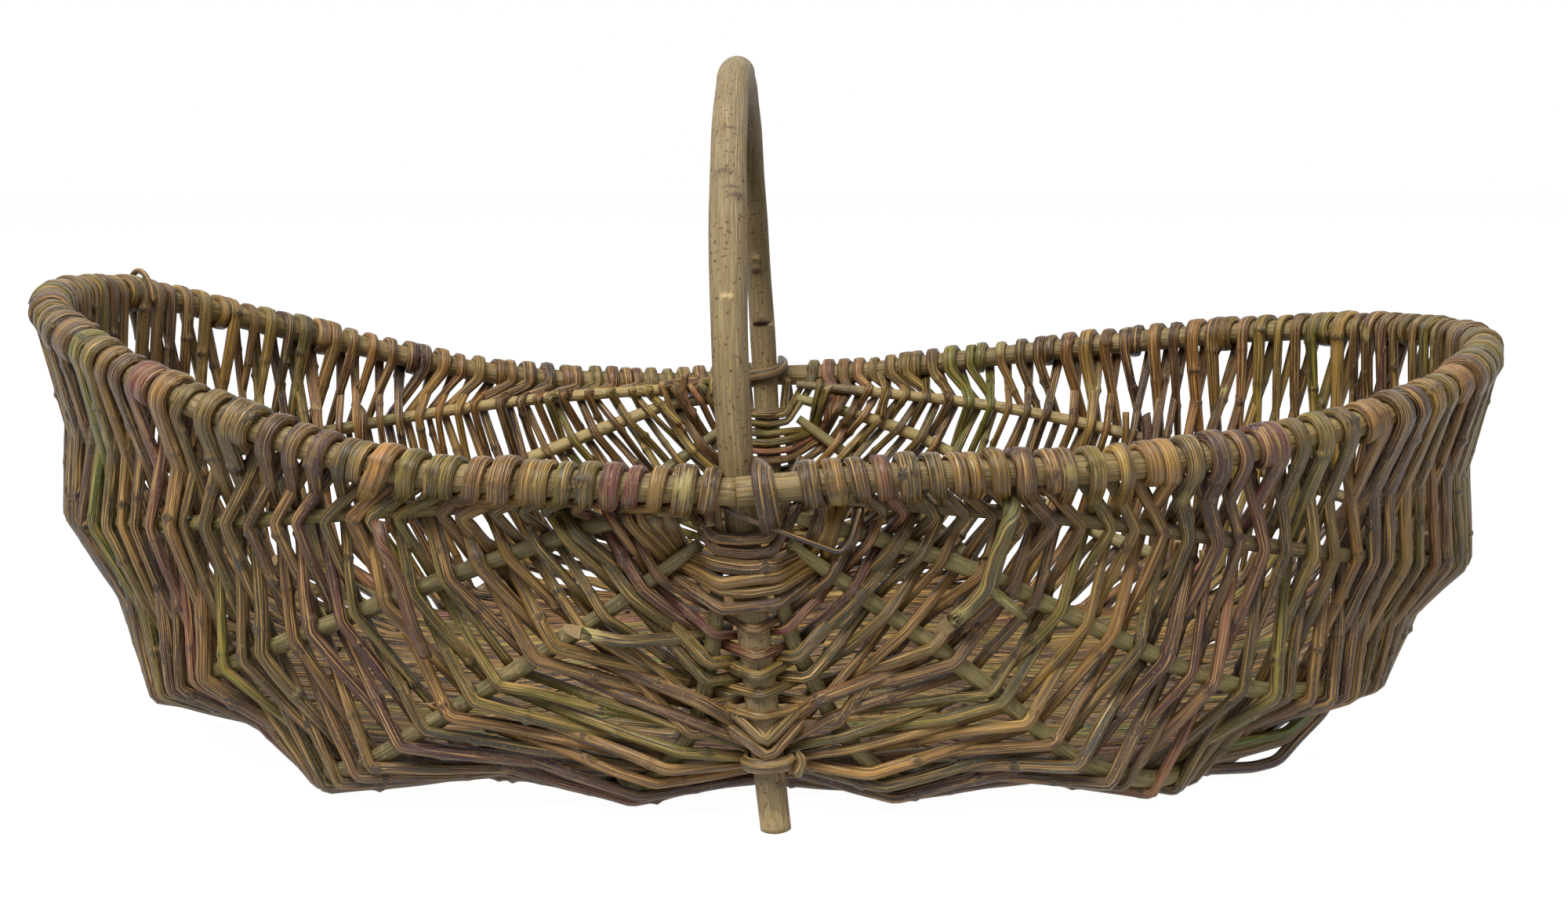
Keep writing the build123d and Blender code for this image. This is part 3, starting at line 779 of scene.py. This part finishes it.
# The ribs and the rim hoop
frameRods = {
    "ribColours": {-1: ["#80703c", "#7e7044", "#7c6e46", "#857648"],
                   1: ["#806a48", "#a69862", "#a0925e", "#8c7e50"]},
    "rimColour": "#9a7f4e", "step": 3.0, "sides": 14, "ring": 0.04, "bud": 0.12,
    "thinned": 25.0,  # length over which a rib's ends are thinned
    # where the bark is off on each rib, from and to, negative from its back end, and how much of it
    "barkOff": [(-170, -25, 0.75), (-170, -25, 0.75), (60, 95, 0.3), (60, 95, 0.3)],
}


def plainRod(line, radius, colour, s, ends=0.0, shift=0.0, knots=(), scraped=(), torn=()):
    # A rod along a line, with its radius given along it, nodes or knots (place, rise, half length),
    # thinned ends, stretches (from, to, amount) where the bark is off and torn spots like knots
    run = runOf(line)
    spots = list(knots) + list(torn)
    nearest = [int(np.argmin(np.linalg.norm(line - np.array(spot[0]), axis=1))) for spot in spots]
    places = run[nearest] if knots else nodesAlong(run[-1])
    rings = ringsAlong(run[-1], s["step"], places)
    rings = rings[(rings >= 0) & (rings <= run[-1])]
    line = pick(line, run, rings)
    up = line - line.mean(0) + np.array([0, 0, 1.0])
    radius = pick(radius, np.linspace(0, run[-1], len(radius)), rings)
    if ends:
        radius = radius * (1 - 0.35 * np.exp(-rings / ends) - 0.35 * np.exp(-(rings[-1] - rings) / ends))
    # its thickness wavers over 145 and over 57 mm
    radius = radius * (1 + 0.03 * np.sin(rings / 23 + shift) + 0.02 * np.sin(rings / 9.1 + 2 * shift))
    scrape = np.zeros(len(rings))
    for low, high, amount in scraped:
        within = np.clip((rings - low) / 12, 0, 1) * np.clip((high - rings) / 12, 0, 1)
        scrape = np.maximum(scrape, amount * within)
    scrape = scrape[:, None]
    if knots:
        way = unit(np.gradient(line, axis=0))
        across = unit(up - (up * way).sum(1, keepdims=True) * way)
        at = [int(np.argmin(np.abs(rings - place))) for place in places]
        aside = np.array([spot[0] for spot in spots]) - line[at]
        angles = np.arctan2((aside * across[at]).sum(1), (aside * np.cross(way[at], across[at])).sum(1))
        rises, widths = (np.array([spot[k] for spot in spots]) for k in (1, 2))
        n = len(knots)
        swell, mark = bumpsAt(rings, places[:n], s["sides"], 0, rises[:n], angles[:n], widths[:n])
        raised, bare = bumpsAt(rings, places[n:], s["sides"], 0, rises[n:], angles[n:], widths[n:])
        swell += raised - 1
        scrape = np.maximum(scrape, bare)
    else:
        spin = np.arange(len(places)) * 2.4 + shift
        swell, mark = bumpsAt(rings, places, s["sides"], s["ring"], s["bud"], spin)
    return rodParts(line, up, radius, radius, swell, colour, mark, scrape, (0, 0), shift)


for side, sideName in sideNames.items():
    for i in range(4):
        line = everyMillimetre(supportLines[side][i + 1])
        colour = linear(frameRods["ribColours"][side][i]) * random.uniform(0.9, 1.1)
        run = runOf(line)[-1]
        low, high, amount = frameRods["barkOff"][i]
        start = run if low < 0 else 0
        rod = plainRod(line, np.full(9, basket["ribRadius"][i]), colour, frameRods, frameRods["thinned"],
                       shift=40.0 * i + side, scraped=[(start + low, start + high, amount)])
        name = f"{sideName}_rib_{i + 1}"
        makePiece(f"{name}_rod", [rod], [ribBark, cutWood], [name])

hoop = everyMillimetre(np.concatenate([supportLines[-1][0], supportLines[1][0][::-1][1:]]), 0.5)
rod = plainRod(hoop, np.full(9, basket["rimRadius"]), linear(frameRods["rimColour"]), frameRods, shift=11.0)
makePiece("rim_hoop_rod", [rod], [ribBark, cutWood], ["rim_hoop"])

# The handle bow
bow = {
    "colour": "#998357", "step": 2.0, "sides": 28,
    # radius from the front foot over the bow to the back foot
    "radius": [5.7, 5.7, 5.75, 6.3, 6.5, 6.5, 6.45, 6.4, 6.4, 6.4, 6.4, 6.35, 6.3, 6.2, 5.9, 5.7, 5.7],
    # knots: place in mm, how far each stands out as a share of the rod's radius, half its length
    "knots": [((-11.0, -141, 268.0), 0.05, 0.7), ((-18.5, -150, 238.3), 0.14, 1.6),
              ((-4.2, -155, 226.9), 0.14, 1.8), ((-7.0, -157, 233.0), 0.04, 1.1),
              ((-7.5, 149, 177.2), 0.18, 2.6), ((-5.4, 151, 151.3), 0.10, 3.4),
              ((5.0, -168, 17.0), 0.06, 1.5)],
    "torn": [((-14.0, -171, 191.2), 0.05, 1.8), ((-7.0, 149, 183.5), 0.14, 2.6)],
    "footBare": (16, 0.7),  # length of each foot where the bark is worn, and how much
}
b = basket
points = [(b["footX"], -b["legY"], 0.0), (b["rimX"][-1], -b["legY"], b["rimHeight"])]
points += [(-b["lean"] * x, b["legY"] * y, b["rimHeight"] + b["bowRise"] * z) for y, z, x in b["bow"]]
points += [(b["rimX"][1], b["legY"], b["rimHeight"]), (b["footX"], b["legY"], 0.0)]
line = everyMillimetre(bentLine(points), 0.5)
run = runOf(line)[-1]
bare, amount = bow["footBare"]
rod = plainRod(line, np.array(bow["radius"]), linear(bow["colour"]), bow, shift=5.0, knots=bow["knots"],
               torn=bow["torn"], scraped=[(-20, bare, amount), (run - bare, run + 20, amount)])
rod["verts"][:, 2] = np.maximum(rod["verts"][:, 2], 0)  # both feet stand flat
makePiece("handle_bow_rod", [rod], [bowBark, sawnWood], ["handle_bow"])


def loopPoints(centre, radiusX, radiusY, fromAngle, toAngle, rise=0.0):
    # An arc round the leg: centre plus (radiusX cos a, radiusY sin a), climbing evenly by rise
    a = np.radians(np.linspace(fromAngle, toAngle, 24))
    arc = np.stack([radiusX * np.cos(a), radiusY * np.sin(a), rise * np.linspace(-0.5, 0.5, 24)], axis=1)
    return [tuple(point) for point in centre + arc]


for way, half in halfNames.items():
    s = lashing
    z = s["height"]
    x = legX(z, way)
    out, y, up = s["turnEnd"]
    turn = loopPoints(np.array([x, way * b["legY"], z]), s["turn"], -way * s["turn"], *s["turnAngles"])
    turn = [(x + out, way * y, z + up)] + turn + [(x - out, way * y, z + up)]
    rods = [boundRod(turn, *s["thick"], linear(s["colour"]), 60.0 + way)]
    over = [(b["rimX"][way] + x, way * y, z) for x, y, z in s["over"]]
    rods.append(boundRod(over, s["overWide"][way], s["overThick"], linear(s["overColours"][way]), 20.0 + way))
    makePiece(f"{half}_handle_lashing_rod", rods, [weaverBark, cutWood], [f"{half}_handle_lashing"])
    foot = s["footHeight"]
    x = legX(foot, way)
    ring = loopPoints(np.array([x, way * b["legY"], foot]), s["footTurn"], s["footTurn"], *s["footAngles"],
                      s["footRise"])
    ring += [(x + out, way * y, foot + up) for out, y, up in s["footTail"]]
    rods = [boundRod(ring, *s["footThick"], linear(s["colour"]), 33.0 + way)]
    makePiece(f"{half}_foot_tie_rod", rods, [weaverBark, cutWood], [f"{half}_foot_tie"])

# Floor, light and camera
studio = {
    "sky": 0.08, "floor": "#a0a0a0", "paperGlow": 0.965, "floorHalf": 9,
    # lamps, in metres and watts: place, size and power, all turned to aim
    "lamps": {"keySoftBox": ((-0.5, -0.9, 1.6), (1.6, 1.0), 44.0),
              "fillSoftBox": ((0.9, -1.3, 0.7), (1.2, 1.0), 2.5)},
    "aim": (0, 0, 0.1),
}


def whereSeen(tree):
    # 1 for camera, glossy and transmission rays, which see the white paper, and 0 for light
    rays = addNode(tree, "ShaderNodeLightPath").outputs
    seen = rays["Is Camera Ray"]
    for other in ("Is Glossy Ray", "Is Transmission Ray"):
        seen = addNode(tree, "ShaderNodeMath", {0: seen, 1: rays[other]}, operation="MAXIMUM").outputs[0]
    return seen


floorMesh = bpy.data.meshes.new("studio_floor")
far = studio["floorHalf"]
corners = [(-far, -far, 0), (far, -far, 0), (far, far, 0), (-far, far, 0)]
floorMesh.from_pydata(corners, [], [(0, 1, 2, 3)])
floor = addObject("studio_floor", floorMesh)
paper, tree, shader = newMaterial("whitePaper")
for socket, value in (("Base Color", rgba(studio["floor"])), ("Roughness", 0.9),
                      ("Specular IOR Level", 0.0), ("Emission Color", (1, 1, 1, 1))):
    shader.inputs[socket].default_value = value
glow = addNode(tree, "ShaderNodeMath", {0: whereSeen(tree), 1: studio["paperGlow"]}, operation="MULTIPLY")
tree.links.new(glow.outputs[0], shader.inputs["Emission Strength"])
floorMesh.materials.append(paper)

world = bpy.data.worlds.new("studioSky")
bpy.context.scene.world = world
world.use_nodes = True
tree = world.node_tree
tree.nodes.clear()
light = addNode(tree, "ShaderNodeBackground", {"Color": (1, 1, 1, 1), "Strength": studio["sky"]})
white = addNode(tree, "ShaderNodeBackground", {"Color": (1, 1, 1, 1), "Strength": 1.0})
mixed = addNode(tree, "ShaderNodeMixShader", {0: whereSeen(tree), 1: light.outputs[0], 2: white.outputs[0]})
addNode(tree, "ShaderNodeOutputWorld", {"Surface": mixed.outputs[0]})


def worldMatrix(right, up, back, place):
    # An object's matrix from its own x, y and z directions and its place
    return Matrix([[right[i], up[i], back[i], place[i]] for i in range(3)] + [[0, 0, 0, 1]])


for name, (place, size, power) in studio["lamps"].items():
    lamp = bpy.data.lights.new(name, "AREA")
    lamp.shape = "RECTANGLE"
    lamp.size, lamp.size_y = size
    lamp.energy = power
    box = addObject(name, lamp)
    back = unit(np.array(place, float) - np.array(studio["aim"], float))
    right = unit(np.cross([0, 1, 0.01], back))
    box.matrix_world = worldMatrix(right, np.cross(back, right), back, place)

# The camera stands where the photo was taken from: lengths in millimetres, angles in radians
lens = {"place": (4.15, -851.4, 238.6), "pitch": 0.1523, "yaw": -0.002, "roll": -0.0047,
        "focal": 46.8, "film": 36.0}
cosP, cosY, cosR = (math.cos(lens[angle]) for angle in ("pitch", "yaw", "roll"))
sinP, sinY, sinR = (math.sin(lens[angle]) for angle in ("pitch", "yaw", "roll"))
level = np.array([cosY, sinY, 0])
ahead = np.array([-sinY, cosY, 0])
overhead = np.array([0, 0, 1])
forward = cosP * ahead - sinP * overhead
upward = sinP * ahead + cosP * overhead
camera = addObject("camera", bpy.data.cameras.new("camera"))
camera.data.lens = lens["focal"]
camera.data.sensor_width = lens["film"]
camera.data.sensor_fit = "HORIZONTAL"
camera.data.clip_start = 0.01
camera.matrix_world = worldMatrix(cosR * level + sinR * upward, cosR * upward - sinR * level, -forward,
                                  np.array(lens["place"]) * mm)
bpy.context.scene.camera = camera
bpy.context.scene.view_settings.view_transform = "Standard"
print("studio set")

bpy.context.view_layer.update()
